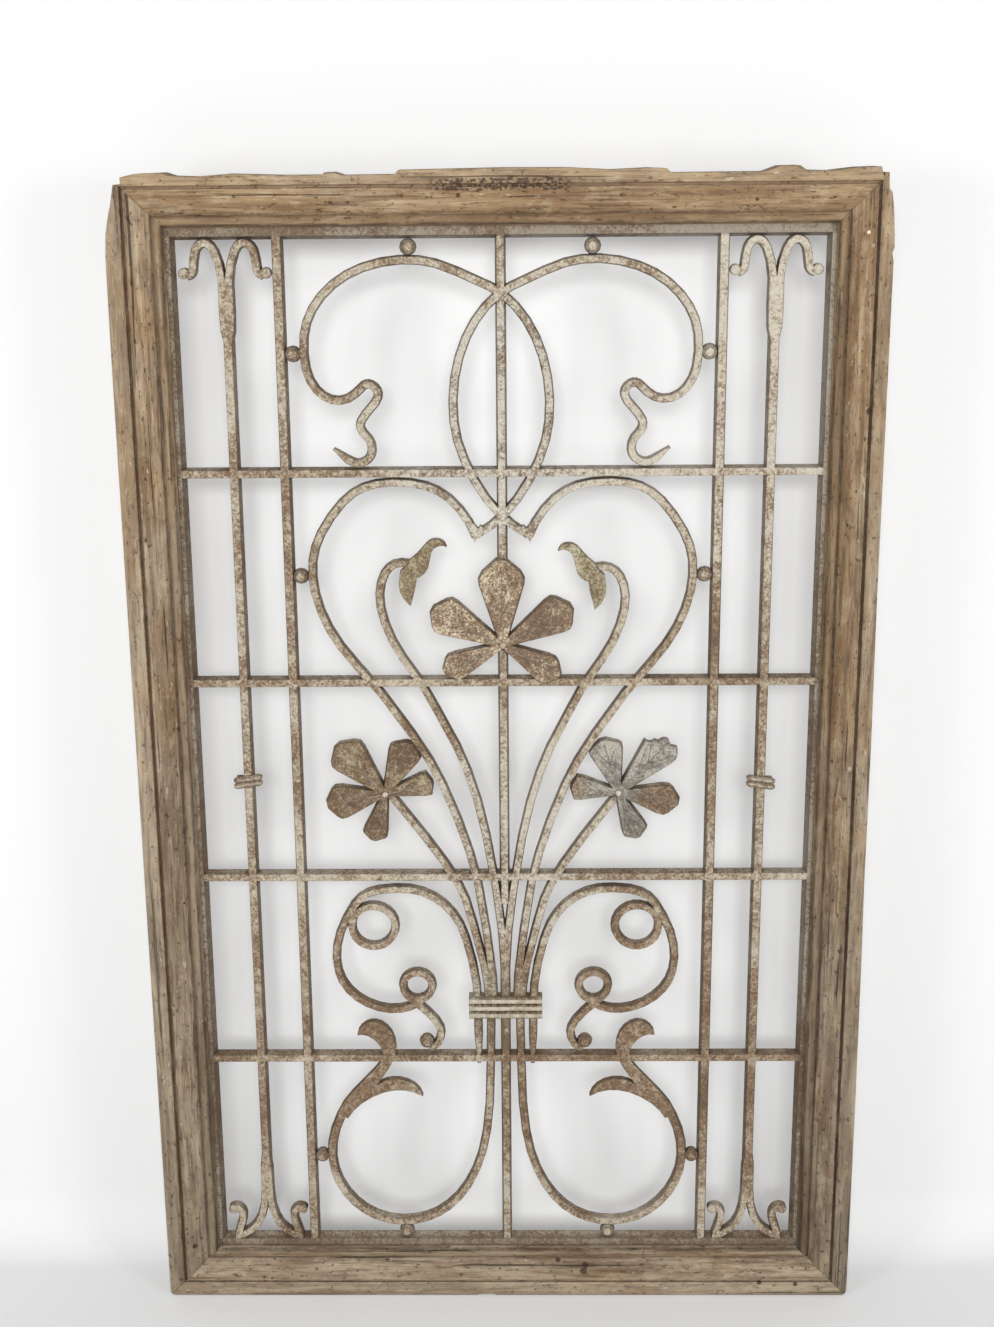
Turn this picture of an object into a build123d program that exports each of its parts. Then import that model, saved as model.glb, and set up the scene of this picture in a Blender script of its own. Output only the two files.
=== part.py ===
from build123d import *
import math
import os

os.makedirs("parts", exist_ok=True)

# Timber frame: sawn outer size, depth from front to back, and the widths across its moulding
frame_width = 962.0
frame_height = 1554.7
timber_depth = 62.0
edge_round = 2.0
strip_width = 23.5
groove_width = 4.0
groove_depth = 4.0
face_width = 29.0
face_fall = 11.0
quirk_width = 2.5
quirk_fall = 1.5
bead_width = 13.7
bead_top = 6.0
hollow_width = 3.0
lip_depth = 15.2
lip_thickness = 1.8
mitre_gap = 0.3
corner_round = 10.0

# Iron casting: front to back thickness, and how it lies in the rebate behind the lip
iron_depth = 14.0
scroll_depth = 10.0
seat_gap = 0.3
rebate_width = 12.2
side_play = 1.5
top_play = 1.2
border_side = 16.0
border_end = 22.0
border_draft = 4.5

# Widths of the bars and scrolls, on the front face and on the back face
upright_front = 10.2
upright_back = 15.0
middle_front = 9.2
middle_back = 13.6
crossbar_front = 9.6
crossbar_back = 14.0
scroll_front = 8.6
scroll_back = 12.0
curl_front = 8.8
curl_back = 12.4
web = 3.4
ball_radius = 10.6
knob_radius = 7.0
bar_overlap = 4.0

# Raised ornament: how far it stands in front of the bars
flower_rise = 5.0
petal_thickness = 10.0
petal_bevel = 2.2
petal_neck = 5.0
vein_height = 1.0
vein_sunk = 0.6
boss_foot = 9.0
boss_top = 4.0
bud_rise = 3.5
collar_width = 100.0
collar_height = 32.0
collar_rise = 6.0
collar_pits = 9
pit_size = 3.2
pit_depth = 2.6
knot_length = 38.0
knot_radius = 4.6
knot_tilt = 8.0

# Screws through the iron border and cut nails across the mitres
screw_length = 22.0
screw_shank = 3.6
screw_head = 7.6
screw_head_depth = 2.4
screw_inset = 5.5
nail_length = 64.0
nail_shank = 3.0
nail_head = 6.0
nail_head_depth = 1.5
nail_sink = 14.0
nail_inset = 38.0
nail_depths = (30.0, 48.0)
hole_play = 0.3

# How closely straight steps follow a curve, and the sides of outlines that stand for rounds
step_error = 0.45
step_turn = 20.0
ring_sides = 22
ball_sides = 12
screw_sides = 10
roll_sides = 8

# Depths measured from the front of the timber; the object is centred front to back
front = -timber_depth / 2
back = timber_depth / 2
shoulder_y = front + lip_depth + lip_thickness
iron_front = shoulder_y + seat_gap
iron_back = iron_front + iron_depth
scroll_rear = iron_front + scroll_depth
flower_y = iron_front - flower_rise

# Distances across the moulding, from the outer edge inwards
groove_start = strip_width - groove_width / 2
groove_end = strip_width + groove_width / 2
face_end = groove_end + face_width
bead_start = face_end + quirk_width
bead_end = face_end + bead_width
sight = bead_end + hollow_width
rebate_wall = sight - rebate_width

# The casting and its opening, about the middle of the frame
half_width = frame_width / 2
iron_x = half_width - rebate_wall - side_play
iron_low = rebate_wall + seat_gap
iron_high = frame_height - rebate_wall - top_play
opening_x = iron_x - border_side - border_draft
opening_low = iron_low + border_end + border_draft
opening_high = iron_high - border_end - border_draft

# The pattern is drawn on a panel of this size and fitted to the opening of the casting
drawn_x = 400.0
drawn_low = 63.3
drawn_high = 1444.5

# Heights of the four crossbars and places of the uprights on the drawing
crossbar_heights = [341.5, 609.5, 881.0, 1156.0]
inner_upright = 274.0
outer_upright = 338.5
fork_top_start = 1388.0
fork_low_start = 128.0
collar_at = 418.5
stems_join = 571.0

# Scrolls and stems, drawn for one half as (distance from the middle, height) and mirrored
top_scroll = [
    (211.5, 1187.5), (193.5, 1172.5), (183, 1168.5), (172, 1171), (165, 1178.5), (167, 1199),
    (174, 1207), (177.5, 1216.5), (173.5, 1226.5), (157.5, 1245.5), (154, 1255), (157, 1263),
    (167, 1268), (179, 1259.5), (190, 1251), (205, 1247.5), (222, 1253), (236, 1268),
    (245.5, 1309), (241, 1343), (199, 1396), (150, 1416), (80, 1415), (40, 1399), (0, 1379),
    (-36, 1338.5), (-60.5, 1248.5), (-56, 1198.5), (-43.5, 1163.5), (0, 1099.5), (33, 1075.5),
]
heart_stem = [
    (34, 1073.5), (52, 1106.5), (82, 1133), (132, 1144), (182, 1134.5), (220, 1097), (240, 1058),
    (241, 997.5), (202, 917.5), (171, 880.5), (139.5, 837.5), (90, 757.5), (72.5, 717.5),
    (35.5, 597), (27, 542), (16.5, 447), (15.5, 416),
]
bud_stem = [
    (121, 1035.5), (134, 1036), (142.5, 1032.5), (155, 1014), (152, 958), (133, 917.5),
    (106, 877.5), (85, 837.5), (64.5, 797.5), (12.5, 597), (7, 557), (1, 416),
]
flower_stem = [(152, 727.5), (73, 617), (53.5, 577), (42.5, 537), (25, 457), (22.5, 416)]
tendril = [
    (38, 416), (38.5, 437), (53, 517), (60, 537), (88, 574), (125, 590.5), (150, 591.5),
    (191, 581), (213, 551), (221, 534), (222, 455), (150, 414), (121, 423), (110, 433.5),
]
tendril_end = [(131, 432), (118, 420), (94, 394), (89, 381), (97, 360), (106, 358)]
loop = [
    (19.5, 416), (21, 346), (24.5, 251), (47.5, 156), (101, 96.5), (180, 92), (243.5, 171),
    (227.5, 257), (219, 271),
]
short_stem = [(38, 416), (37.5, 376), (37, 334)]
fork_top = [
    (0.5, 1320), (4, 1385), (12, 1430), (17.5, 1438.5), (24.5, 1441.5), (32, 1438), (38.5, 1415),
    (41, 1405.5), (46.5, 1402),
]
fork_low = [(0.5, 191), (3.5, 129), (5.5, 109.5), (11, 91), (20, 76.5), (31, 68), (40, 63)]
fork_curl = [(44.5, 57), (41, 74), (36.5, 90), (37, 101), (42, 107), (49, 107)]

# Balls, knobs and rings, as (distance from the middle, height) and for a ring its radius
balls = [(113, 1435), (258.5, 1306), (258.5, 1023.5), (258.5, 191), (142, 72), (108.5, 367)]
knobs = [(50.5, 1405), (49, 106)]
rings = [(178, 537.5, 29.5), (120, 449, 20)]
knot_height = 744.5

# Double leaf at the upper end of each bottom loop, as five runs between its corners
leaf_runs = [
    [(235, 257), (224, 277), (199, 305.5), (185.5, 320.5), (170, 345), (187, 374), (204.5, 376.5)],
    [(204.5, 376.5), (194, 393.5), (181.5, 397.5), (168, 393), (151.5, 352.5), (157, 335.5),
     (179, 300.5)],
    [(179, 300.5), (170, 306.5), (130, 303), (115.5, 283)],
    [(115.5, 283), (165, 290.5), (180, 285), (210, 264), (221, 249)],
    [(221, 249), (235, 257)],
]
bud_beak = [
    [(121, 1026.5), (119.5, 1041)],
    [(119.5, 1041), (108.5, 1050), (100.5, 1059), (92, 1067), (80, 1068), (71, 1058.5)],
    [(71, 1058.5), (81, 1060), (88.5, 1055), (92, 1046), (94, 1034), (100, 1024), (112, 1018)],
    [(112, 1018), (121, 1026.5)],
]
bud_tip = [
    [(118, 1038.5), (110, 1018.5)],
    [(110, 1018.5), (111.5, 1007), (115, 994), (118, 981.5)],
    [(118, 981.5), (126.5, 990), (132.5, 1003), (133, 1014), (131, 1026.5)],
    [(131, 1026.5), (118, 1038.5)],
]
heart_corner = [(24, 1085.5), (35.5, 1067), (42.5, 1083.5), (37, 1092.5), (31, 1085), (27, 1088.5)]

# The casting isn't quite even: buds and knots sit this much higher on the left than on the right
bud_drop = 6.0
knot_drop = 3.6

# Petals as (direction in degrees, length, half width, place of the widest part along it)
middle_petals = [(91, 115, 30.5, 0.74), (152.5, 104, 26.5, 0.8), (29.7, 103, 26.5, 0.8),
                 (205, 86, 19.5, 0.78), (-30, 86, 20.5, 0.75)]
left_petals = [(132.5, 93, 27, 0.78), (64.5, 80.5, 22.5, 0.78), (14, 65.5, 17.5, 0.87),
               (191, 80.5, 24.5, 0.75), (255, 69.5, 17, 0.82)]
right_petals = [(106, 77.5, 23, 0.8), (173, 64, 18, 0.85), (-9.7, 82.5, 22.5, 0.74),
                (-67, 70.5, 17.5, 0.81)]
broken_petal = (47.5, 105, 26, 0.78)

# Veins of a petal as (start along it, lean in degrees, length, width at the foot, width at the
# tip); starts and lengths are shares of the petal's length
petal_veins = [(0.06, 0, 0.84, 1.3, 0.7), (0.34, 24, 0.36, 0.9, 0.5), (0.34, -24, 0.36, 0.9, 0.5),
               (0.54, 33, 0.25, 0.9, 0.5), (0.54, -33, 0.25, 0.9, 0.5)]
middle_hub = (0, 932)
left_hub = (-157, 729)
right_hub = (151, 730)

# Jagged edge where the tip of the broken petal is gone
break_edge = [(170, 805), (181, 803), (184, 804), (188, 801), (193, 800), (198, 803), (203, 801),
              (207, 804), (212, 805), (216, 803), (219, 795), (240, 790)]

# Worn outline of the timber, as (distance along, wood lost from the sawn edge)
top_wear = [
    (-457, 11.2), (-440, 7.2), (-410, 6.2), (-398, 10.2), (-370, 11.2), (-330, 8.2), (-265, 10.2),
    (-213, 10.2), (-211, 7.2), (-201, 7.2), (-190, 10.7), (-126, 10.2), (-122, 5.2), (10, 3.2),
    (80, 3.7), (135, 6.7), (180, 4.7), (201, 5.7), (206, 10.7), (320, 10.2), (338, 3.7),
    (360, 3.2), (368, 8.7), (400, 9.7), (430, 6.2), (457, 5.2), (461, 18.2), (462, 12.2),
    (467, 12.2),
]
right_wear = [
    (1533, 14), (1523, 13), (1520, 10), (1503, 7), (1473, 5), (1455, 4), (1448, 6.5), (1438, 4.5),
    (1024, 4.5), (824, 3), (624, 3), (504, 1.5), (220, 0),
]
left_wear = [(1300, 0), (1453, 1), (1478, 3), (1498, 7), (1513, 11), (1535, 15)]
left_end = [(-461, 19.7), (-457, 19.2)]
bottom_wear = [(-46, 0), (-40, 2), (-20, 2.5), (-14, 0)]

# Splinter lifted from the bead of the top rail
splinter_x = (-202, -196, -158, -150)
splinter_drop = 2.0


def fit_x(x):
    return x * opening_x / drawn_x


def fit_z(h):
    return opening_low + (h - drawn_low) * (opening_high - opening_low) / (drawn_high - drawn_low)


def drawn(points, side):
    return [(fit_x(x) * side, fit_z(h)) for x, h in points]


def prism(outline, y_near, y_far):
    face = make_face(Polyline(*[(x, y_near, z) for x, z in outline], close=True))
    return extrude(face, amount=y_far - y_near, dir=(0, 1, 0))


def draught(outline_near, outline_far, y_near, y_far):
    near = Polyline(*[(x, y_near, z) for x, z in outline_near], close=True)
    far = Polyline(*[(x, y_far, z) for x, z in outline_far], close=True)
    return Solid.make_loft([Wire(near.edges()), Wire(far.edges())], True)


def box_outline(x0, x1, z0, z1):
    return [(x0, z0), (x1, z0), (x1, z1), (x0, z1)]


# Bars: narrow in front and wider behind, as they left the mould
def upright(x, z0, z1, w_front, w_back):
    near = box_outline(x - w_front / 2, x + w_front / 2, z0, z1)
    far = box_outline(x - w_back / 2, x + w_back / 2, z0, z1)
    return draught(near, far, iron_front, iron_back)


def crossbar(z, x0, x1):
    near = box_outline(x0, x1, z - crossbar_front / 2, z + crossbar_front / 2)
    far = box_outline(x0, x1, z - crossbar_back / 2, z + crossbar_back / 2)
    return draught(near, far, iron_front, iron_back)


def crossing(x, z):
    wide = upright_front / 2 + web
    tall = crossbar_front / 2 + web
    return prism([(x - wide, z), (x, z - tall), (x + wide, z), (x, z + tall)],
                 iron_front + flower_rise / 6, iron_back)


# Curves are walked in straight steps that all lie about the same small distance off the curve
def stations(path):
    samples = 240
    step = path.length / samples
    headings = [path.tangent_at(k / samples) for k in range(samples + 1)]
    walked = [0.0]
    for a, b in zip(headings, headings[1:]):
        bend = math.radians(a.get_angle(b)) / step
        pace = max(math.sqrt(bend / (8 * step_error)), bend / math.radians(step_turn))
        walked.append(walked[-1] + pace * step)
    count = max(2, math.ceil(walked[-1]))
    shares = []
    for k in range(1, count):
        aim = walked[-1] * k / count
        at = next(i for i, w in enumerate(walked) if w >= aim)
        over = (walked[at] - aim) / (walked[at] - walked[at - 1])
        shares.append((at - over) / samples)
    return [0.0] + shares + [1.0]


def closed_wire(spots):
    return Wire(Polyline(*spots, close=True).edges())


# Ribbons: a scroll's middle line, given a width that may swell or taper along it
def swell_at(swell, share):
    for (s0, w0), (s1, w1) in zip(swell, swell[1:]):
        if share <= s1:
            return w0 + (w1 - w0) * (share - s0) / (s1 - s0)
    return swell[-1][1]


def ribbon_wire(path, shares, width, swell, y):
    lefts = []
    rights = []
    for share in shares:
        spot = path.position_at(share)
        along = path.tangent_at(share)
        half = width * swell_at(swell, share) / 2
        lefts.append((spot.X - along.Y * half, y, spot.Y + along.X * half))
        rights.append((spot.X + along.Y * half, y, spot.Y - along.X * half))
    return closed_wire(lefts + list(reversed(rights)))


def ribbon(points, side, w_front=scroll_front, w_back=scroll_back, swell=((0, 1), (1, 1))):
    path = Spline(*drawn(points, side))
    shares = stations(path)
    near = ribbon_wire(path, shares, w_front, swell, iron_front)
    far = ribbon_wire(path, shares, w_back, swell, scroll_rear)
    return Solid.make_loft([near, far], True)


# Round parts are built up from many-sided outlines, given as (radius, depth) from front to back
def turned(centre, steps, sides):
    wires = []
    for radius, y in steps:
        around = [2 * math.pi * k / sides for k in range(sides)]
        wires.append(closed_wire([(centre[0] + radius * math.cos(t), y, centre[1] + radius * math.sin(t))
                                  for t in around]))
    return Solid.make_loft(wires, True)


def ring(x, h, radius, side):
    centre = drawn([(x, h)], side)[0]
    rims = [[(radius + grow * scroll_front / 2, iron_front), (radius + grow * scroll_back / 2, scroll_rear)]
            for grow in (1, -1)]
    return turned(centre, rims[0], ring_sides) - turned(centre, rims[1], ring_sides)


# A ball is flat behind, where it lay on the moulding board
def ball(x, h, side):
    profile = [(0.5, -0.87), (0.87, -0.5), (1.0, 0.05), (0.8, 0.6)]
    middle = iron_front + scroll_depth / 2
    steps = [(r * ball_radius, middle + y * ball_radius) for r, y in profile]
    return turned(drawn([(x, h)], side)[0], steps, ball_sides)


def knob(x, h, side):
    steps = [(knob_radius * 0.8, iron_front - 1), (knob_radius, iron_front), (knob_radius, scroll_rear)]
    return turned(drawn([(x, h)], side)[0], steps, ball_sides)


def leaf(runs, side, y_near):
    outline = []
    for run in runs:
        spots = drawn(run, side)
        if len(spots) > 2:
            path = Spline(*spots)
            places = [path.position_at(share) for share in stations(path)]
            spots = [(p.X, p.Y) for p in places]
        outline += spots[:-1]
    return prism(outline, y_near, scroll_rear)


# Petals: bevelled all round, with a raised midrib that side veins leave in pairs
def petal(hub, direction, length, half, widest):
    turn = math.radians(direction)
    hub_x, hub_z = drawn([hub], 1)[0]

    def put(along, across, y):
        x = hub_x + along * math.cos(turn) - across * math.sin(turn)
        return (x, y, hub_z + along * math.sin(turn) + across * math.cos(turn))

    shoulder = length * widest
    rims = []
    for y, inset in ((flower_y, petal_bevel), (flower_y + petal_thickness, 0.0)):
        wide = half - inset
        tip = length - inset
        round_at = shoulder + (tip - shoulder) * 0.45
        edge = [(0, petal_neck - inset), (shoulder - 6, wide * 0.97), (shoulder + 3, wide),
                (round_at, wide * 0.82), (tip, wide * 0.2)]
        around = edge + [(along, -across) for along, across in reversed(edge)]
        rims.append(Wire(Polyline(*[put(a, c, y) for a, c in around], close=True).edges()))
    body = Solid.make_loft(rims, True)
    veins = []
    for start, lean, reach, foot, point in petal_veins:
        angle = math.radians(lean)
        ends = []
        for gone, size in ((0.0, foot), (reach, point)):
            out = length * (start + gone * math.cos(angle))
            middle = length * gone * math.sin(angle)
            ridge = [put(out, middle - size, flower_y + vein_sunk),
                     put(out, middle + size, flower_y + vein_sunk),
                     put(out, middle, flower_y - vein_height * size)]
            ends.append(Wire(Polyline(*ridge, close=True).edges()))
        veins.append(Solid.make_loft(ends, True))
    return [body] + veins


def boss(hub):
    steps = [(boss_top, flower_y - vein_height), (boss_foot, scroll_rear)]
    return turned(drawn([hub], 1)[0], steps, ball_sides)


# Knot: two round rolls side by side across an outer upright
def knot(x, h, side):
    spot = drawn([(x, h)], side)[0]
    end = knot_length / 2
    profile = [(0.5, -end), (1, 4 - end), (1, end - 4), (0.5, end)]
    lean = math.radians(knot_tilt * side)
    rolls = []
    for lift in (-0.85, 0.85):
        wires = []
        for share, along in profile:
            around = [math.pi * (2 * k + 1) / roll_sides for k in range(roll_sides)]
            radius = share * knot_radius
            x0 = spot[0] + along * math.cos(lean)
            z0 = spot[1] + lift * knot_radius - along * math.sin(lean)
            wires.append(closed_wire([(x0, iron_front + 0.5 + radius * math.cos(t),
                                       z0 + radius * math.sin(t)) for t in around]))
        rolls.append(Solid.make_loft(wires, True))
    core = Box(knot_length * 0.8, scroll_depth, knot_radius * 2.6)
    return rolls + [Pos(spot[0], (iron_front + scroll_rear) / 2, spot[1]) * core]


# Collar: three rolls across the stems, with a row of small pits along each valley
def collar():
    centre = fit_z(collar_at)
    radius = collar_height / 6
    valley = iron_front - collar_rise + radius
    low = centre - collar_height / 2
    outline = [(iron_back, low), (valley, low)]
    for row in range(3):
        middle = low + (2 * row + 1) * radius
        for k in range(1, roll_sides):
            t = math.pi * k / roll_sides
            outline.append((valley - radius * math.sin(t), middle - radius * math.cos(t)))
        outline.append((valley, middle + radius))
    outline.append((iron_back, low + collar_height))
    face = make_face(Polyline(*[(-collar_width / 2, y, z) for y, z in outline], close=True))
    body = extrude(face, amount=collar_width, dir=(1, 0, 0))
    pits = []
    for row in (-1, 1):
        for k in range(collar_pits):
            x = (k - (collar_pits - 1) / 2) * collar_width / (collar_pits + 0.6)
            pit = Box(pit_size, pit_depth * 2, pit_size, rotation=(0, 45, 0))
            pits.append(Pos(x, valley, centre + row * radius) * pit)
    return body, pits


# Screw and its holes, pointing to the front from the back of the iron border
screw_spots = []
for side in (-1, 1):
    for share in (0.22, 0.78):
        screw_spots.append((side * (iron_x - screw_inset), frame_height * share))
    for z in (iron_low + screw_inset, iron_high - screw_inset):
        screw_spots.append((side * frame_width * 0.2, z))


def screw_shape(spot, play):
    neck = iron_back - screw_head_depth
    head = [(screw_shank / 2 + play, neck), (screw_head / 2 + play, iron_back)]
    shank = [(screw_shank / 2 + play, iron_back - screw_length - play), (screw_shank / 2 + play, neck)]
    return turned(spot, shank, screw_sides) + turned(spot, head, screw_sides)


# Cut nails, square in section, driven from the outer edge of a stile into the end of a rail
def nail_shape(side, y, z, play, open_end):
    head_x = half_width - nail_sink
    tip_x = head_x - nail_length
    shank = nail_shank + 2 * play
    body = Pos(side * (head_x + tip_x) / 2, y, z) * Box(nail_length + 2 * play, shank, shank)
    head_end = head_x + open_end
    head_foot = head_x - nail_head_depth - play
    width = nail_head + 2 * play
    head = Box(head_end - head_foot, width, width)
    return body + Pos(side * (head_end + head_foot) / 2, y, z) * head


nail_spots = [(side, front + y, z) for side in (-1, 1) for y in nail_depths
              for z in (nail_inset, frame_height - nail_inset)]


# Timber: one moulded section for all four sides, mitred at the corners
def section(place):
    def run(*spots):
        return Line(place(*spots[0]), place(*spots[1]))

    def arc(*spots):
        return ThreePointArc(*[place(*s) for s in spots])

    face_turn = (groove_end + face_width * 0.55, front + face_fall * 0.3)
    bead_peak = ((bead_start + bead_end) / 2, front + bead_top)
    bead_foot = (bead_end, front + bead_top + 1.5)
    return Wire([
        run((0, back), (0, front + edge_round)),
        arc((0, front + edge_round), (edge_round * 0.3, front + edge_round * 0.3),
            (edge_round, front)),
        run((edge_round, front), (groove_start, front)),
        run((groove_start, front), (groove_start, front + groove_depth)),
        run((groove_start, front + groove_depth), (groove_end, front + groove_depth)),
        run((groove_end, front + groove_depth), (groove_end, front)),
        arc((groove_end, front), face_turn, (face_end, front + face_fall)),
        run((face_end, front + face_fall), (face_end + quirk_fall, front + face_fall + quirk_fall)),
        run((face_end + quirk_fall, front + face_fall + quirk_fall), (bead_start, front + face_fall)),
        arc((bead_start, front + face_fall), bead_peak, bead_foot),
        run(bead_foot, (sight, front + lip_depth)),
        run((sight, front + lip_depth), (sight, shoulder_y)),
        run((sight, shoulder_y), (rebate_wall, shoulder_y)),
        run((rebate_wall, shoulder_y), (rebate_wall, back)),
        run((rebate_wall, back), (0, back)),
    ])


def silhouette():
    spots = [(half_width, corner_round)]
    spots += [(half_width - lost, z) for z, lost in reversed(right_wear)]
    spots += [(x, frame_height - lost) for x, lost in reversed(top_wear)]
    spots += [(x, frame_height - lost) for x, lost in reversed(left_end)]
    spots += [(lost - half_width, z) for z, lost in reversed(left_wear)]
    spots += [(-half_width, corner_round)]
    around = [(x, front - 1, z) for x, z in spots]
    bent = corner_round * (1 - math.sqrt(0.5))
    flat = half_width - corner_round
    bottom = [(-flat, 0)] + bottom_wear + [(flat, 0)]
    edges = [Polyline(*around)]
    edges.append(ThreePointArc(around[-1], (bent - half_width, front - 1, bent), (-flat, front - 1, 0)))
    edges.append(Polyline(*[(x, front - 1, z) for x, z in bottom]))
    edges.append(ThreePointArc((flat, front - 1, 0), (half_width - bent, front - 1, bent), around[0]))
    outline = Wire([e for part in edges for e in part.edges()])
    return extrude(make_face(outline), amount=timber_depth + 2, dir=(0, 1, 0))


def rail(level, upward):
    face = make_face(section(lambda u, y: (-half_width, y, level + u * upward)))
    bar = extrude(face, amount=frame_width, dir=(1, 0, 0))
    pull = mitre_gap * math.sqrt(2)
    end = half_width - pull
    outline = [(-end, level), (end, level), (end - half_width / 2, level + upward * half_width / 2),
               (half_width / 2 - end, level + upward * half_width / 2)]
    return bar & prism(outline, front, back)


def stile(side):
    face = make_face(section(lambda u, y: (side * (half_width - u), y, 0)))
    bar = extrude(face, amount=frame_height, dir=(0, 0, 1))
    outer = side * half_width
    inner = side * half_width / 2
    outline = [(outer, 0), (outer, frame_height), (inner, frame_height - half_width / 2),
               (inner, half_width / 2)]
    return bar & prism(outline, front, back)


def splinter():
    x0, x1, x2, x3 = splinter_x
    bead_y = front + bead_top
    low = frame_height - bead_end - 1
    spots = [(x0, bead_y), (x1, bead_y + splinter_drop), (x2, bead_y + splinter_drop * 0.7),
             (x3, bead_y), (x3, bead_y - bead_top), (x0, bead_y - bead_top)]
    face = make_face(Polyline(*[(x, y, low) for x, y in spots], close=True))
    return extrude(face, amount=bead_end - bead_start + 2, dir=(0, 0, 1))


# Iron border with draughted inner edges
border = prism(box_outline(-iron_x, iron_x, iron_low, iron_high), iron_front, iron_back)
window_near = box_outline(-opening_x - border_draft, opening_x + border_draft,
                          opening_low - border_draft, opening_high + border_draft)
window_far = box_outline(-opening_x, opening_x, opening_low, opening_high)
border = border - draught(window_near, window_far, iron_front, iron_back)

# Bars, with their ends buried in the border
low = opening_low - border_draft - bar_overlap
high = opening_high + border_draft + bar_overlap
reach = opening_x + border_draft + bar_overlap
pieces = []
for side in (-1, 1):
    pieces.append(upright(fit_x(inner_upright) * side, low, high, upright_front, upright_back))
    pieces.append(upright(fit_x(outer_upright) * side, fit_z(fork_low_start), fit_z(fork_top_start),
                          upright_front, upright_back))
pieces.append(upright(0, fit_z(stems_join), high, middle_front, middle_back))
pieces.append(upright(0, low, fit_z(collar_at), middle_front, middle_back))
for h in crossbar_heights:
    pieces.append(crossbar(fit_z(h), -reach, reach))
    for x in (-outer_upright, -inner_upright, inner_upright, outer_upright):
        pieces.append(crossing(fit_x(x), fit_z(h)))

# Scrolls, stems, leaves, buds and forked ends
for side in (-1, 1):
    pieces.append(ribbon(top_scroll, side, swell=((0, 0.3), (0.018, 1), (1, 1))))
    pieces.append(ribbon(heart_stem, side))
    pieces.append(ribbon([(x, h - side * bud_drop / 2 if h > 990 else h) for x, h in bud_stem], side))
    pieces.append(ribbon(flower_stem, side))
    pieces.append(ribbon(tendril, side))
    pieces.append(ribbon(tendril_end, side))
    pieces.append(ribbon(loop, side, swell=((0, 1), (0.4, 1), (0.7, 1.15), (1, 1.15))))
    pieces.append(ribbon(short_stem, side, swell=((0, 1), (0.85, 1), (1, 0.55))))
    pieces.append(prism(drawn(heart_corner, side), iron_front, scroll_rear))
    pieces.append(leaf(leaf_runs, side, iron_front))
    for runs in (bud_beak, bud_tip):
        moved = [[(x, h - side * bud_drop / 2) for x, h in run] for run in runs]
        pieces.append(leaf(moved, side, iron_front - bud_rise))
    pieces += [ring(x, h, radius, side) for x, h, radius in rings]
    pieces += [ball(x, h, side) for x, h in balls]
    pieces += knot(outer_upright, knot_height - side * knot_drop / 2, side)
    for hand in (-1, 1):
        for points in (fork_top, fork_low, fork_curl):
            moved = [(outer_upright + x * hand, h) for x, h in points]
            pieces.append(ribbon(moved, side, curl_front, curl_back))
        pieces += [knob(outer_upright + x * hand, h, side) for x, h in knobs]

# Flowers stand in front of the bars; one petal of the right one has lost its tip
for hub, petals in ((middle_hub, middle_petals), (left_hub, left_petals), (right_hub, right_petals)):
    for shape in petals:
        pieces += petal(hub, *shape)
    pieces.append(boss(hub))
break_low = [(fit_x(x), fit_z(h)) for x, h in break_edge]
lost_tip = prism(break_low + [(fit_x(260), fit_z(860)), (fit_x(170), fit_z(860))],
                 flower_y - flower_rise, scroll_rear)
pieces += [part - lost_tip for part in petal(right_hub, *broken_petal)]
collar_body, collar_holes = collar()
pieces.append(collar_body)

# The pieces run together into one casting, a dozen at a time
solids = [s for piece in pieces for s in piece.solids()]
dozen = 12
casting = border
for start in range(0, len(solids), dozen):
    casting = casting.fuse(*solids[start:start + dozen])
casting = casting.cut(*collar_holes)
bores = [screw_shape(spot, hole_play) for spot in screw_spots]
casting = casting.cut(*bores)
export_step(casting, "parts/cast_grille.step")

# Four timbers, worn at the outer edges and bored for the fasteners
worn = silhouette()
timbers = {
    "bottom_rail": rail(0, 1),
    "top_rail": rail(frame_height, -1) - splinter(),
    "left_stile": stile(-1),
    "right_stile": stile(1),
}
bores += [nail_shape(side, y, z, hole_play, nail_sink + 1) for side, y, z in nail_spots]
for name, timber in timbers.items():
    timber = (timber & worn).solids().sort_by(SortBy.VOLUME)[-1]
    export_step(timber.cut(*bores), f"parts/{name}.step")

# Fasteners
screws = Compound([screw_shape(spot, 0) for spot in screw_spots])
export_step(screws, "parts/grille_screws.step")
nails = Compound([nail_shape(side, y, z, 0, 0) for side, y, z in nail_spots])
export_step(nails, "parts/mitre_nails.step")
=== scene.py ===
import math

import bpy
from mathutils import Matrix, Vector

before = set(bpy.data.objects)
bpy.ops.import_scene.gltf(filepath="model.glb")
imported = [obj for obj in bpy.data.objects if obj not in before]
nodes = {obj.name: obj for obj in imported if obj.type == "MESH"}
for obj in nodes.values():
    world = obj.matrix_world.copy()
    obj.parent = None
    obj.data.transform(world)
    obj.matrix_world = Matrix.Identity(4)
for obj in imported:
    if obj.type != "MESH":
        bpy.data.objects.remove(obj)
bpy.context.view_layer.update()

# Camera: fitted to the groove lines of the timber
camera_place = (0.0242, -2.3166, 1.5738)
camera_pitch = math.radians(15.62)
camera_yaw = math.radians(-0.80)
camera_roll = math.radians(0.47)
camera_lens = 50.0
camera_sensor = 36.0

# Studio: a pale wall close behind the grille and a pale floor under it. The paper's glow lights nothing
wall_y = 0.115
floor_z = -0.001
cove_start = 0.036
cove_steps = 12
paper_front = -4.0
paper_top = 6.0
paper_half = 6.0
paper_tone = 0.63
paper_glow = 0.21

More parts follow.
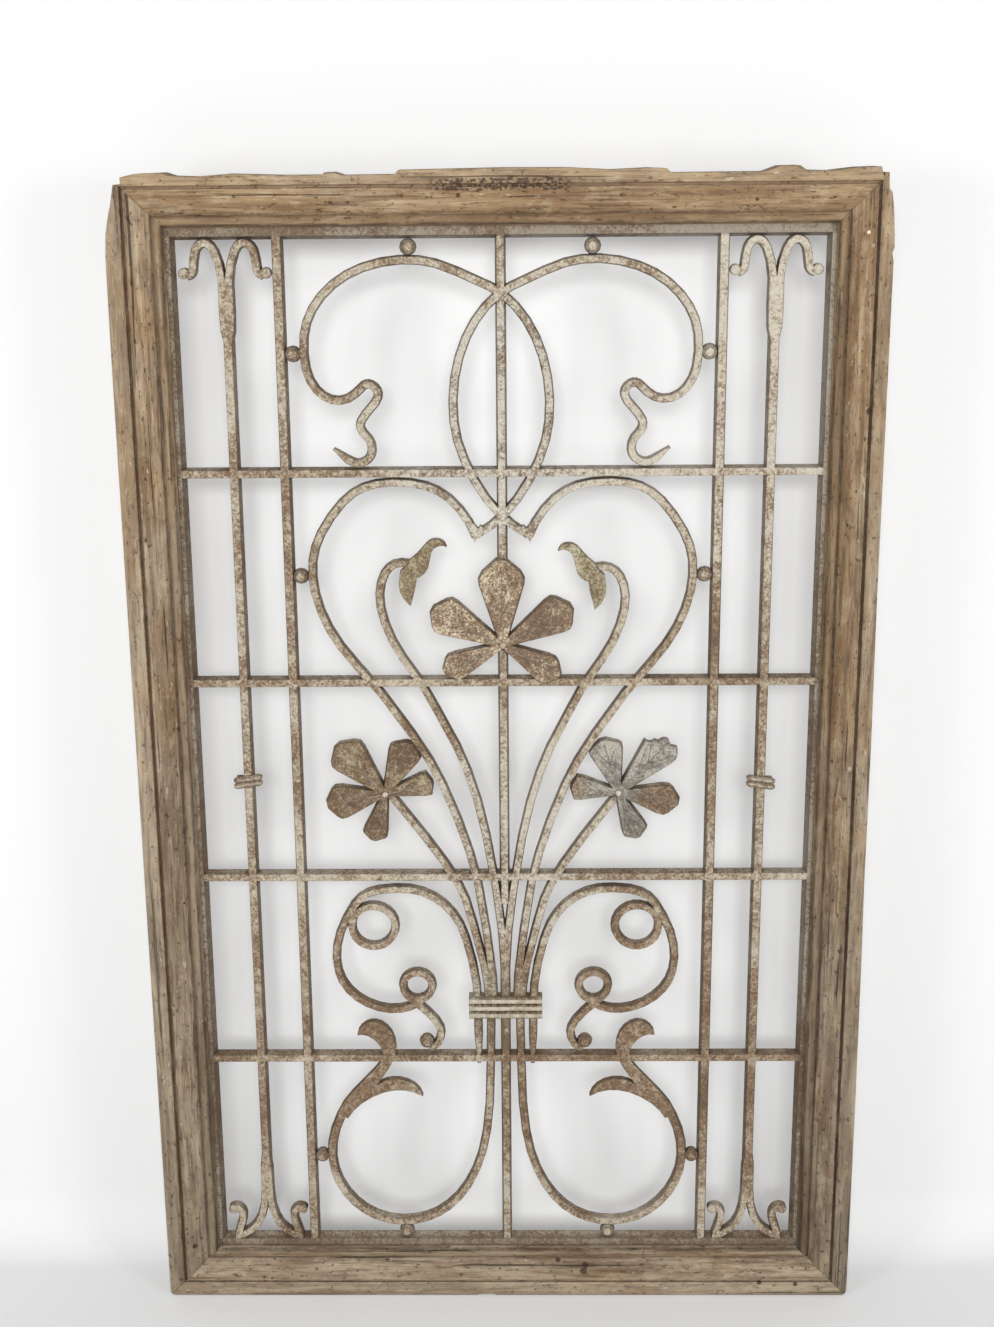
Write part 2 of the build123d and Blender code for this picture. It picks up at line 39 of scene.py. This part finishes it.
# Lamps, as (name, place, aim, size, watts), and the even light of the studio
lamps = [
    ("left_box", (-2.3, -2.3, 1.5), (0.0, 0.0, 0.7), (1.0, 1.2), 31),
    ("right_box", (2.3, -2.3, 1.5), (0.0, 0.0, 0.7), (1.0, 1.2), 31),
    ("front_box", (0.0, -4.6, 2.3), (0.0, 0.0, 0.6), (1.4, 1.0), 140),
]
studio_light = 0.2

scene = bpy.context.scene


# Shader graphs
class Graph:
    """Short calls for adding nodes to a material or a node group."""

    def __init__(self, tree):
        self.tree = tree

    def node(self, kind, inputs=None, **settings):
        made = self.tree.nodes.new(kind)
        for key, value in settings.items():
            setattr(made, key, value)
        for key, value in (inputs or {}).items():
            self.feed(made.inputs[key], value)
        return made

    def feed(self, socket, value):
        if isinstance(value, bpy.types.NodeSocket):
            self.tree.links.new(value, socket)
        else:
            socket.default_value = value

    def math(self, operation, a, b=0.0):
        return self.node("ShaderNodeMath", {0: a, 1: b}, operation=operation).outputs[0]

    def times(self, value, *others):
        for other in others:
            value = self.math("MULTIPLY", value, other)
        return value

    def sway(self, wave, amount):
        """A wave from 0 to 1, turned into a push to either side of nothing."""
        return self.times(self.math("SUBTRACT", wave, 0.5), amount)

    def ramp(self, value, low, high, to_low=0.0, to_high=1.0):
        made = self.node("ShaderNodeMapRange", {0: value, 1: low, 2: high, 3: to_low, 4: to_high},
                         interpolation_type="SMOOTHSTEP")
        return made.outputs[0]

    def mix(self, share, a, b):
        made = self.node("ShaderNodeMix", data_type="RGBA")
        self.feed(made.inputs[0], share)
        self.feed(made.inputs[6], a)
        self.feed(made.inputs[7], b)
        return made.outputs[2]

    def noise(self, place, scale, detail=4.0, rough=0.55, twist=0.0):
        made = self.node("ShaderNodeTexNoise",
                         {"Vector": place, "Scale": scale, "Detail": detail, "Roughness": rough,
                          "Distortion": twist})
        return made.outputs["Fac"]

    def stretch(self, place, scale):
        return self.node("ShaderNodeMapping", {"Vector": place, "Scale": scale}).outputs[0]


def rgb(red, green, blue):
    """A colour given as it looks on screen, each part from 0 to 255."""
    def linear(part):
        part = part / 255
        return part / 12.92 if part <= 0.04045 else ((part + 0.055) / 1.055) ** 2.4
    return (linear(red), linear(green), linear(blue), 1.0)


def new_group(name, inputs, outputs):
    tree = bpy.data.node_groups.new(name, "ShaderNodeTree")
    for label, kind, value in inputs:
        socket = tree.interface.new_socket(label, in_out="INPUT", socket_type=kind)
        if value is not None:
            socket.default_value = value
    for label, kind in outputs:
        tree.interface.new_socket(label, in_out="OUTPUT", socket_type=kind)
    graph = Graph(tree)
    return graph, graph.node("NodeGroupInput").outputs, graph.node("NodeGroupOutput").inputs


def use_group(graph, tree, inputs):
    made = graph.node("ShaderNodeGroup", node_tree=tree)
    for key, value in inputs.items():
        graph.feed(made.inputs[key], value)
    return made.outputs


def new_material(name):
    material = bpy.data.materials.new(name)
    material.use_nodes = True
    material.node_tree.nodes.clear()
    graph = Graph(material.node_tree)
    shader = graph.node("ShaderNodeBsdfPrincipled")
    graph.node("ShaderNodeOutputMaterial", {"Surface": shader.outputs[0]})
    return material, graph, shader


# Places on the object, in metres: heights and depths that several materials use
frame_half = 0.481
frame_top = 1.5547
petal_front = -0.0187
bar_front = -0.0137
border_x = 0.4045
border_high = 1.4725
border_low = 0.0815
collar_centre = (0.0, -0.015, 0.441)
collar_radius = 0.075

# How far the border's darker tone fades in, and how rusty the iron is where no skin says so
border_soft = 0.003
even_rust = 0.5

# Worn width of sharp edges (painted shade along them on the iron), how far the painted shade in hollows
# reaches, and a shift that gives the rails their own grain
iron_edge, timber_edge = 0.0018, 0.003
iron_hollow, timber_hollow = 0.012, 0.02
rail_shift = 0.37

# Bands of the moulding, as distances from its outer edge, and how far the crumbly run fades out
strip_band = (-0.01, 0.0205)
bead_band = (0.056, 0.0675)
crumbly_band = (0.015, 0.029)
crumbly_fade = 0.03

# Areas of the casting with a skin of their own, as (centre, radius, share, paint, stain, rust)
raised_skins = [
    ((-0.157, 0.0, 0.757), 0.125, 0.95, (152, 134, 102), (82, 58, 35), 0.62),
    ((0.151, 0.0, 0.757), 0.125, 0.95, (112, 117, 114), (92, 84, 70), 0.42),
    ((0.213, 0.0, 0.742), 0.045, 0.8, (150, 130, 102), (98, 68, 44), 0.62),
    ((0.092, 0.0, 0.762), 0.03, 0.7, (168, 148, 122), (120, 88, 60), 0.62),
    ((0.0, 0.0, 0.975), 0.155, 0.95, (208, 190, 160), (94, 61, 36), 0.62),
    ((-0.105, 0.0, 1.058), 0.065, 0.9, (158, 147, 112), (100, 86, 58), 0.52),
    ((0.105, 0.0, 1.052), 0.065, 0.9, (154, 145, 112), (96, 84, 60), 0.52),
]
flat_skins = [
    ((0.0, 0.0, 0.441), 0.075, 0.9, (166, 160, 140), (110, 98, 76), 0.5),
    ((-0.41, 0.0, 0.9), 0.05, 0.5, (150, 132, 112), (104, 84, 64), 0.6),
    ((0.3, 0.0, 0.904), 0.12, 0.6, (160, 142, 118), (108, 84, 60), 0.58),
    ((0.2, 0.0, 0.36), 0.26, 0.65, (148, 124, 96), (98, 74, 50), 0.66),
    ((-0.3, 0.0, 0.36), 0.22, 0.5, (150, 126, 98), (100, 76, 52), 0.62),
    ((0.0, 0.0, 1.25), 0.18, 0.6, (206, 202, 190), (140, 124, 102), 0.4),
    ((0.0, 0.0, 0.68), 0.16, 0.5, (204, 198, 182), (132, 114, 90), 0.43),
    ((0.28, 0.0, 1.3), 0.25, 0.8, (196, 186, 168), (150, 126, 98), 0.34),
]


def rust_group():
    """Old cream paint over rust: a colour, a height and how rusty each place is."""
    graph, given, out = new_group(
        "old_paint_over_rust",
        [("Place", "NodeSocketVector", None), ("Rust", "NodeSocketFloat", 0.5),
         ("Paint", "NodeSocketColor", rgb(150, 143, 126)), ("Stain", "NodeSocketColor", rgb(116, 94, 70))],
        [("Color", "NodeSocketColor"), ("Height", "NodeSocketFloat"), ("Rusty", "NodeSocketFloat")])
    place = given["Place"]
    broad = graph.noise(place, 9.0, 3.0, 0.5)
    patch = graph.noise(place, 75.0, 5.0, 0.65, 0.4)
    speck = graph.noise(place, 330.0, 4.0, 0.7)
    grit = graph.noise(place, 820.0, 3.0, 0.6)
    level = graph.math("ADD", graph.times(patch, 0.5), graph.times(speck, 0.5))
    level = graph.math("ADD", level, graph.sway(broad, 0.55))
    level = graph.math("ADD", level, graph.sway(given["Rust"], 0.4))
    rusty = graph.ramp(level, 0.43, 0.6)
    deep = graph.ramp(level, 0.56, 0.72)
    bright = graph.ramp(level, 0.47, 0.36)
    paint = graph.mix(graph.ramp(speck, 0.4, 0.62, 0.0, 0.5), given["Paint"], rgb(124, 110, 90))
    paint = graph.mix(graph.times(bright, 0.55), paint, rgb(196, 188, 172))
    paint = graph.mix(graph.ramp(grit, 0.5, 0.68, 0.0, 0.55), paint, rgb(88, 72, 56))
    rust = graph.mix(graph.ramp(speck, 0.34, 0.64), given["Stain"], rgb(92, 68, 47))
    rust = graph.mix(graph.ramp(grit, 0.5, 0.7, 0.0, 0.4), rust, rgb(150, 118, 86))
    rust = graph.mix(graph.times(deep, 0.8), rust, rgb(66, 46, 33))
    graph.feed(out["Color"], graph.mix(graph.times(rusty, 0.85), paint, rust))
    height = graph.math("SUBTRACT", graph.times(speck, 0.6), graph.times(rusty, 0.4))
    graph.feed(out["Height"], graph.math("ADD", height, graph.times(grit, 0.4)))
    graph.feed(out["Rusty"], rusty)
    return graph.tree


def area_group():
    """A soft round area with a ragged rim: 1 inside, 0 outside."""
    graph, given, out = new_group(
        "ragged_area",
        [("Place", "NodeSocketVector", None), ("Centre", "NodeSocketVector", None),
         ("Radius", "NodeSocketFloat", 0.1)],
        [("Mask", "NodeSocketFloat")])
    gap = graph.node("ShaderNodeVectorMath", {0: given["Place"], 1: given["Centre"]}, operation="DISTANCE")
    share = graph.math("DIVIDE", gap.outputs["Value"], given["Radius"])
    ragged = graph.sway(graph.noise(given["Place"], 60.0, 4.0, 0.6), 0.7)
    graph.feed(out["Mask"], graph.ramp(graph.math("ADD", share, ragged), 1.0, 0.72))
    return graph.tree


def edge_mask(graph, radius):
    """How near a sharp edge each place is, and a normal that rounds that edge."""
    round_normal = graph.node("ShaderNodeBevel", {"Radius": radius}, samples=4).outputs[0]
    flat_normal = graph.node("ShaderNodeNewGeometry").outputs["True Normal"]
    turn = graph.node("ShaderNodeVectorMath", {0: round_normal, 1: flat_normal}, operation="DOT_PRODUCT")
    return graph.ramp(turn.outputs["Value"], 0.995, 0.86), round_normal, flat_normal


def front_facing(graph, normal):
    """1 where a face looks straight forward, 0 where it is square to that."""
    facing = graph.node("ShaderNodeVectorMath", {0: normal, 1: (0.0, -1.0, 0.0)}, operation="DOT_PRODUCT")
    return facing.outputs["Value"]


def area_mask(graph, area, place, centre, radius):
    return use_group(graph, area, {"Place": place, "Centre": centre, "Radius": radius})["Mask"]


def local_skins(graph, area, place, raised):
    """Paint, stain and rust as they change from place to place over the casting."""
    paint, stain, rust = rgb(182, 170, 148), rgb(138, 113, 86), even_rust
    for skins, limits in ((flat_skins, ()), (raised_skins, (raised,))):
        for centre, radius, share, paint_here, stain_here, rust_here in skins:
            share = graph.times(area_mask(graph, area, place, centre, radius), share, *limits)
            paint = graph.mix(share, paint, rgb(*paint_here))
            stain = graph.mix(share, stain, rgb(*stain_here))
            rust = graph.math("ADD", rust, graph.times(share, graph.math("SUBTRACT", rust_here, rust)))
    return paint, stain, rust


def pale_marks(graph, place, depth, raised):
    """Pale veins on the crests of the petals, and a faint pale net between them."""
    worn = graph.ramp(graph.noise(place, 130.0, 4.0, 0.65), 0.42, 0.6)
    cells = graph.node("ShaderNodeTexVoronoi", {"Vector": place, "Scale": 95.0},
                       feature="DISTANCE_TO_EDGE")
    net = graph.ramp(cells.outputs["Distance"], 0.09, 0.0)
    vein = graph.ramp(depth, petal_front - 0.00005, petal_front - 0.0003)
    vein = graph.times(vein, graph.ramp(worn, 0.0, 1.0, 0.45, 0.9))
    return graph.math("MAXIMUM", graph.times(net, worn, raised, 0.32), vein)


def border_mask(graph, axes):
    """The flat iron border, painted darker: most above and below."""
    beyond_side = graph.ramp(graph.math("ABSOLUTE", axes["X"]), border_x - border_soft, border_x)
    beyond_top = graph.ramp(axes["Z"], border_high - border_soft, border_high)
    beyond_low = graph.ramp(axes["Z"], border_low + border_soft, border_low)
    beyond_ends = graph.math("MAXIMUM", beyond_top, beyond_low)
    return graph.math("MAXIMUM", graph.times(beyond_side, 0.35), graph.times(beyond_ends, 0.6))


def iron_material(name, tree, area, rust, paint, whole):
    """Flaking iron, with the casting's own local skins, marks and border where whole is true."""
    material, graph, shader = new_material(name)
    place = graph.node("ShaderNodeTexCoord").outputs["Object"]
    axes = graph.node("ShaderNodeSeparateXYZ", {0: place}).outputs
    depth = axes["Y"]
    edge, round_normal, flat_normal = edge_mask(graph, iron_edge)
    raised = graph.ramp(depth, bar_front - 0.0005, bar_front - 0.002)
    stain = rgb(92, 68, 47)
    if whole:
        paint, stain, rust = local_skins(graph, area, place, raised)
    skin = use_group(graph, tree, {"Place": place, "Rust": rust, "Paint": paint, "Stain": stain})
    color = skin["Color"]
    if whole:
        color = graph.mix(pale_marks(graph, place, depth, raised), color, rgb(196, 188, 168))
        color = graph.mix(border_mask(graph, axes), color, rgb(98, 82, 66))

    # Painted shade: draughted sides are darker, but not on the crests of the petals and less on faces that
    # look up, where more light falls
    side = graph.ramp(front_facing(graph, flat_normal), 0.55, 0.98, 0.7, 0.0)
    upward = graph.node("ShaderNodeSeparateXYZ", {0: flat_normal}).outputs["Z"]
    side = graph.times(side, graph.ramp(depth, petal_front - 0.0001, petal_front + 0.001),
                       graph.ramp(upward, 0.5, 0.9, 1.0, 0.4))
    # Painted shade in hollows, from ambient occlusion
    hollow = graph.node("ShaderNodeAmbientOcclusion", {"Distance": iron_hollow}, samples=8).outputs["AO"]
    hollow_shade = graph.ramp(hollow, 0.35, 0.95, 0.6, 0.0)
    # Less painted shade on the collar
    if whole:
        collar = area_mask(graph, area, place, collar_centre, collar_radius)
        collar_shade_scale = graph.ramp(collar, 0.0, 1.0, 1.0, 0.2)
        side, hollow_shade = graph.times(side, collar_shade_scale), graph.times(hollow_shade, collar_shade_scale)
    # Tones of the painted shade: on sides and edges, and in hollows
    painted_shade_tone, hollow_shade_tone = rgb(84, 68, 52), rgb(52, 40, 31)
    color = graph.mix(side, color, painted_shade_tone)
    # Painted shade along the sharp edges of the iron
    color = graph.mix(graph.times(edge, 0.4), color, painted_shade_tone)
    color = graph.mix(hollow_shade, color, hollow_shade_tone)
    graph.feed(shader.inputs["Base Color"], color)
    graph.feed(shader.inputs["Roughness"], graph.ramp(skin["Rusty"], 0.0, 1.0, 0.6, 0.85))
    bump = graph.node("ShaderNodeBump", {"Height": skin["Height"], "Strength": 0.8, "Distance": 0.0014,
                                         "Normal": round_normal})
    graph.feed(shader.inputs["Normal"], bump.outputs[0])
    return material


def grain_group():
    """Weathered timber, its grain along Z of the place, with age from bare brown to bleached grey."""
    graph, given, out = new_group(
        "weathered_grain",
        [("Place", "NodeSocketVector", None), ("Grey", "NodeSocketFloat", 0.3)],
        [("Color", "NodeSocketColor"), ("Height", "NodeSocketFloat")])
    place = given["Place"]
    long = graph.stretch(place, (1.0, 1.0, 0.06))
    fine = graph.noise(long, 300.0, 5.0, 0.7, 0.3)
    streak = graph.noise(long, 110.0, 5.0, 0.6, 0.6)
    band = graph.noise(graph.stretch(place, (1.0, 1.0, 0.12)), 40.0, 4.0, 0.55, 0.8)
    cloud = graph.noise(graph.stretch(place, (1.0, 1.0, 0.45)), 15.0, 5.0, 0.62, 0.5)
    blot = graph.noise(graph.stretch(place, (1.0, 1.0, 0.6)), 55.0, 5.0, 0.66, 0.3)
    speck = graph.noise(graph.stretch(place, (1.0, 1.0, 0.5)), 210.0, 4.0, 0.72)
    chip = graph.noise(graph.stretch(place, (1.0, 1.0, 0.3)), 120.0, 4.0, 0.7, 0.5)
    crack = graph.noise(graph.stretch(place, (1.0, 1.0, 0.022)), 140.0, 4.0, 0.62, 0.25)
    brown = graph.mix(graph.ramp(band, 0.36, 0.66), rgb(140, 116, 86), rgb(112, 87, 60))
    grey = graph.mix(graph.ramp(band, 0.36, 0.66), rgb(140, 126, 106), rgb(108, 93, 75))
    age = graph.math("ADD", given["Grey"], graph.sway(cloud, 1.6))
    color = graph.mix(graph.ramp(age, 0.25, 0.75), brown, grey)
    color = graph.mix(graph.ramp(blot, 0.5, 0.7, 0.0, 0.5), color, rgb(160, 143, 118))
    color = graph.mix(graph.ramp(blot, 0.47, 0.3, 0.0, 0.55), color, rgb(92, 72, 50))
    color = graph.mix(graph.ramp(streak, 0.5, 0.66, 0.0, 0.7), color, rgb(88, 68, 48))
    color = graph.mix(graph.ramp(streak, 0.44, 0.3, 0.0, 0.45), color, rgb(172, 154, 128))
    color = graph.mix(graph.ramp(fine, 0.5, 0.68, 0.0, 0.66), color, rgb(70, 53, 38))
    color = graph.mix(graph.ramp(chip, 0.64, 0.7, 0.0, 0.55), color, rgb(178, 164, 142))
    pit = graph.ramp(speck, 0.59, 0.7, 0.0, 0.85)
    color = graph.mix(pit, color, rgb(52, 38, 28))
    line = graph.ramp(crack, 0.62, 0.67)
    color = graph.mix(graph.times(line, 0.8), color, rgb(44, 33, 25))
    graph.feed(out["Color"], color)
    height = graph.math("SUBTRACT", graph.times(fine, 0.5), graph.times(line, 0.9))
    height = graph.math("ADD", height, graph.times(blot, 0.9))
    graph.feed(out["Height"], graph.math("SUBTRACT", height, graph.times(pit, 0.6)))
    return graph.tree


def band_group():
    """A ragged band across the moulding: 1 between two distances from the outer edge, in metres."""
    graph, given, out = new_group(
        "ragged_band",
        [("Place", "NodeSocketVector", None), ("Across", "NodeSocketFloat", 0.0),
         ("From", "NodeSocketFloat", 0.0), ("To", "NodeSocketFloat", 0.01),
         ("Ragged", "NodeSocketFloat", 0.003), ("Soft", "NodeSocketFloat", 0.001)],
        [("Mask", "NodeSocketFloat")])
    wave = graph.noise(graph.stretch(given["Place"], (1.0, 1.0, 0.4)), 130.0, 5.0, 0.7)
    across = graph.math("ADD", given["Across"], graph.times(graph.sway(wave, given["Ragged"]), 2.0))
    inside = graph.math("DIVIDE", graph.math("SUBTRACT", across, given["From"]), given["Soft"])
    beyond = graph.math("DIVIDE", graph.math("SUBTRACT", given["To"], across), given["Soft"])
    graph.feed(out["Mask"], graph.ramp(graph.math("MINIMUM", inside, beyond), -1.0, 1.0))
    return graph.tree


def timber_material(name, trees, edge_at, inward, along, greys, lines, spots, lifts, hollow_shade_share, crumbly=None):
    """Timber whose moulding starts at edge_at on the across axis and runs inward by that sign."""
    grain_tree, band_tree, area_tree = trees
    material, graph, shader = new_material(name)
    place = graph.node("ShaderNodeTexCoord").outputs["Object"]
    axes = graph.node("ShaderNodeSeparateXYZ", {0: place}).outputs
    across_axis, grain_place = axes["X"], place
    if along == "X":
        across_axis = axes["Z"]
        shifted = graph.math("ADD", axes["Z"], rail_shift)
        turned = graph.node("ShaderNodeCombineXYZ", {"X": shifted, "Y": axes["Y"], "Z": axes["X"]})
        grain_place = turned.outputs[0]
    across = graph.times(graph.math("SUBTRACT", across_axis, edge_at), inward)
    grey = graph.ramp(axes["Z"], 0.1, 1.5, *greys)
    grain = use_group(graph, grain_tree, {"Place": grain_place, "Grey": grey})

    def band(near, far, ragged, soft=0.0008):
        return use_group(graph, band_tree, {"Place": grain_place, "Across": across, "From": near, "To": far,
                                            "Ragged": ragged, "Soft": soft})["Mask"]

    edge, round_normal, flat_normal = edge_mask(graph, timber_edge)
    front = graph.ramp(front_facing(graph, flat_normal), 0.1, 0.4)
    color = grain["Color"]
    strip = band(*strip_band, 0.002, 0.002)
    color = graph.mix(graph.times(strip, 0.16), color, rgb(160, 148, 128))
    bead = band(*bead_band, 0.0015, 0.0015)
    color = graph.mix(graph.times(bead, 0.4), color, rgb(98, 80, 60))
    worn = graph.ramp(graph.noise(grain_place, 90.0, 4.0, 0.6), 0.4, 0.62)
    color = graph.mix(graph.times(edge, worn, 0.6), color, rgb(182, 166, 140))
    broken = graph.noise(graph.stretch(grain_place, (1.0, 1.0, 0.5)), 45.0, 4.0, 0.7)
    broken = graph.ramp(broken, 0.36, 0.56, 0.35, 1.0)
    # Painted shade in the groove, quirk and lip, and painted light where a paler tone offsets the groove's
    # own shadow
    for near, far, ragged, share, tone in lines:
        mask = graph.times(band(near, far, ragged), share, front, broken)
        color = graph.mix(mask, color, rgb(*tone))
    if crumbly:
        run_from, run_to = crumbly
        run = graph.times(graph.ramp(axes["X"], run_from, run_from + crumbly_fade),
                          graph.ramp(axes["X"], run_to, run_to - crumbly_fade))
        pits = graph.ramp(graph.noise(grain_place, 240.0, 4.0, 0.7), 0.46, 0.54)
        mask = graph.times(band(*crumbly_band, 0.008), pits, run, 0.85)
        color = graph.mix(mask, color, rgb(44, 33, 26))
    for spot, radius, tone in spots:
        mask = graph.times(area_mask(graph, area_tree, place, spot, radius), 0.85)
        color = graph.mix(mask, color, rgb(*tone))
    # Painted shade in hollows, from ambient occlusion
    hollow = graph.node("ShaderNodeAmbientOcclusion", {"Distance": timber_hollow}, samples=8).outputs["AO"]
    hollow_shade = graph.ramp(hollow, 0.3, 0.9, hollow_shade_share, 0.0)
    color = graph.mix(hollow_shade, color, rgb(50, 38, 28))
    lift = graph.ramp(axes["Z"], 0.0, 1.45, *lifts)
    bright = graph.node("ShaderNodeHueSaturation", {"Value": lift, "Color": color, "Saturation": 0.97})
    graph.feed(shader.inputs["Base Color"], bright.outputs[0])
    shader.inputs["Roughness"].default_value = 0.85
    shader.inputs["Specular IOR Level"].default_value = 0.3
    bump = graph.node("ShaderNodeBump", {"Height": grain["Height"], "Strength": 0.9, "Distance": 0.0022,
                                         "Normal": round_normal})
    graph.feed(shader.inputs["Normal"], bump.outputs[0])
    return material


def give(obj, material):
    obj.data.materials.clear()
    obj.data.materials.append(material)


rust_tree = rust_group()
area_tree = area_group()
trees = (grain_group(), band_group(), area_tree)
iron = iron_material("flaking_iron", rust_tree, area_tree, even_rust, rgb(150, 143, 126), True)
steel = iron_material("rusted_steel", rust_tree, area_tree, 0.95, rgb(120, 100, 84), False)
give(nodes["cast_grille"], iron)
give(nodes["grille_screws"], steel)
give(nodes["mitre_nails"], steel)

# Painted shade in the groove, quirk and lip: lines along the moulding, as (from, to, ragged, share, tone),
# distances from the outer edge
dark, brown = (50, 36, 25), (92, 68, 46)
lip_shadow_line = (0.0668, 0.07, 0.0012, 0.6, dark)
quirk_shade_line = (0.054, 0.0562, 0.0012, 0.55, dark)
# The groove on the rails gets a paler tone: painted light that offsets the groove's own shadow
top_lines = [(0.0208, 0.0262, 0.001, 0.7, (120, 97, 73)), (0.054, 0.056, 0.0012, 0.3, brown), lip_shadow_line]
left_lines = [(0.0205, 0.0266, 0.0012, 0.85, (94, 70, 48)), (0.054, 0.056, 0.0012, 0.4, dark), lip_shadow_line]
right_lines = [(0.0208, 0.0258, 0.0022, 0.8, (74, 54, 38)), quirk_shade_line, lip_shadow_line]
low_lines = [(0.0208, 0.0262, 0.001, 0.7, (150, 132, 108)), (0.054, 0.056, 0.0012, 0.35, dark), lip_shadow_line]
top_spots = [((-0.05, -0.028, 1.52), 0.0035, dark), ((0.31, -0.028, 1.512), 0.003, dark)]
low_spots = [((0.1075, -0.028, 0.0385), 0.0055, dark), ((0.1105, -0.026, 0.0465), 0.005, dark),
             ((0.0718, -0.022, 0.0525), 0.004, dark), ((0.357, -0.03, 0.0214), 0.004, dark),
             ((0.408, -0.031, 0.0188), 0.004, dark)]
right_spots = [((0.4557, -0.03, 1.2566), 0.005, dark), ((0.4457, -0.029, 1.4728), 0.0026, (214, 200, 172))]
left_spots = [((-0.4427, -0.028, 0.0784), 0.004, dark), ((-0.43, -0.024, 0.6), 0.003, dark)]

# Greys and lifts are (below, above): how bleached and how light the timber is at both ends of the height
give(nodes["top_rail"],
     timber_material("timber_top", trees, edge_at=frame_top, inward=-1.0, along="X", greys=(0.2, 0.2),
                     lines=top_lines, spots=top_spots, lifts=(1.38, 1.38), hollow_shade_share=0.25, crumbly=(-0.1, 0.1)))
give(nodes["bottom_rail"],
     timber_material("timber_bottom", trees, edge_at=0.0, inward=1.0, along="X", greys=(0.75, 0.75),
                     lines=low_lines, spots=low_spots, lifts=(1.42, 1.42), hollow_shade_share=0.4))
give(nodes["left_stile"],
     timber_material("timber_left", trees, edge_at=-frame_half, inward=1.0, along="Z", greys=(0.85, 0.35),
                     lines=left_lines, spots=left_spots, lifts=(1.1, 1.38), hollow_shade_share=0.45))
give(nodes["right_stile"],
     timber_material("timber_right", trees, edge_at=frame_half, inward=-1.0, along="Z", greys=(0.75, 0.25),
                     lines=right_lines, spots=right_spots, lifts=(1.0, 1.24), hollow_shade_share=0.45))


# Studio: one sheet of paper that runs over the floor and curves up into the wall
def sheet(name, profile, half):
    corners = [(side * half, y, z) for y, z in profile for side in (-1, 1)]
    faces = [(2 * k, 2 * k + 1, 2 * k + 3, 2 * k + 2) for k in range(len(profile) - 1)]
    mesh = bpy.data.meshes.new(name)
    mesh.from_pydata(corners, [], faces)
    mesh.shade_smooth()
    made = bpy.data.objects.new(name, mesh)
    scene.collection.objects.link(made)
    return made


paper, graph, shader = new_material("paper")
shader.inputs["Base Color"].default_value = (paper_tone, paper_tone, paper_tone, 1.0)
shader.inputs["Roughness"].default_value = 1.0
shader.inputs["Specular IOR Level"].default_value = 0.0

# The glow is there for the camera, for metal and for glass, and the paper is clear when seen from behind
rays = graph.node("ShaderNodeLightPath").outputs
looked_at = graph.math("MAXIMUM", rays["Is Glossy Ray"], rays["Is Transmission Ray"])
looked_at = graph.math("MAXIMUM", rays["Is Camera Ray"], looked_at)
glow = graph.mix(looked_at, (0.0, 0.0, 0.0, 1.0), (1.0, 1.0, 1.0, 1.0))
graph.feed(shader.inputs["Emission Color"], glow)
shader.inputs["Emission Strength"].default_value = paper_glow
behind = graph.node("ShaderNodeNewGeometry").outputs["Backfacing"]
graph.feed(shader.inputs["Alpha"], graph.math("SUBTRACT", 1.0, behind))
cove = wall_y - cove_start
turns = [math.pi / 2 * k / cove_steps for k in range(cove_steps + 1)]
bend = [(cove_start + cove * math.sin(angle), floor_z + cove - cove * math.cos(angle)) for angle in turns]
backdrop = sheet("backdrop", [(paper_front, floor_z)] + bend + [(wall_y, paper_top)], paper_half)
give(backdrop, paper)


def lamp(name, place, aim, size, watts):
    data = bpy.data.lights.new(name, "AREA")
    data.shape = "RECTANGLE"
    data.size, data.size_y = size
    data.energy = watts
    made = bpy.data.objects.new(name, data)
    made.location = place
    made.rotation_euler = (Vector(aim) - Vector(place)).to_track_quat("-Z", "Y").to_euler()
    scene.collection.objects.link(made)


for row in lamps:
    lamp(*row)
world = bpy.data.worlds.new("studio")
world.use_nodes = True
sky = world.node_tree.nodes["Background"].inputs
sky["Color"].default_value = (1.0, 1.0, 1.0, 1.0)
sky["Strength"].default_value = studio_light
scene.world = world

# Camera
camera_data = bpy.data.cameras.new("camera")
camera_data.lens = camera_lens
camera_data.sensor_width = camera_sensor
camera = bpy.data.objects.new("camera", camera_data)
scene.collection.objects.link(camera)
cos_pitch, sin_pitch = math.cos(camera_pitch), math.sin(camera_pitch)
ahead = Vector((math.sin(camera_yaw) * cos_pitch, math.cos(camera_yaw) * cos_pitch, -sin_pitch))
level = Vector((math.cos(camera_yaw), -math.sin(camera_yaw), 0.0))
down = ahead.cross(level)
right = level * math.cos(camera_roll) + down * math.sin(camera_roll)
lower = down * math.cos(camera_roll) - level * math.sin(camera_roll)
turn = Matrix((right, -lower, -ahead)).transposed().to_4x4()
camera.matrix_world = Matrix.Translation(camera_place) @ turn
scene.camera = camera
scene.view_settings.view_transform = "Standard"
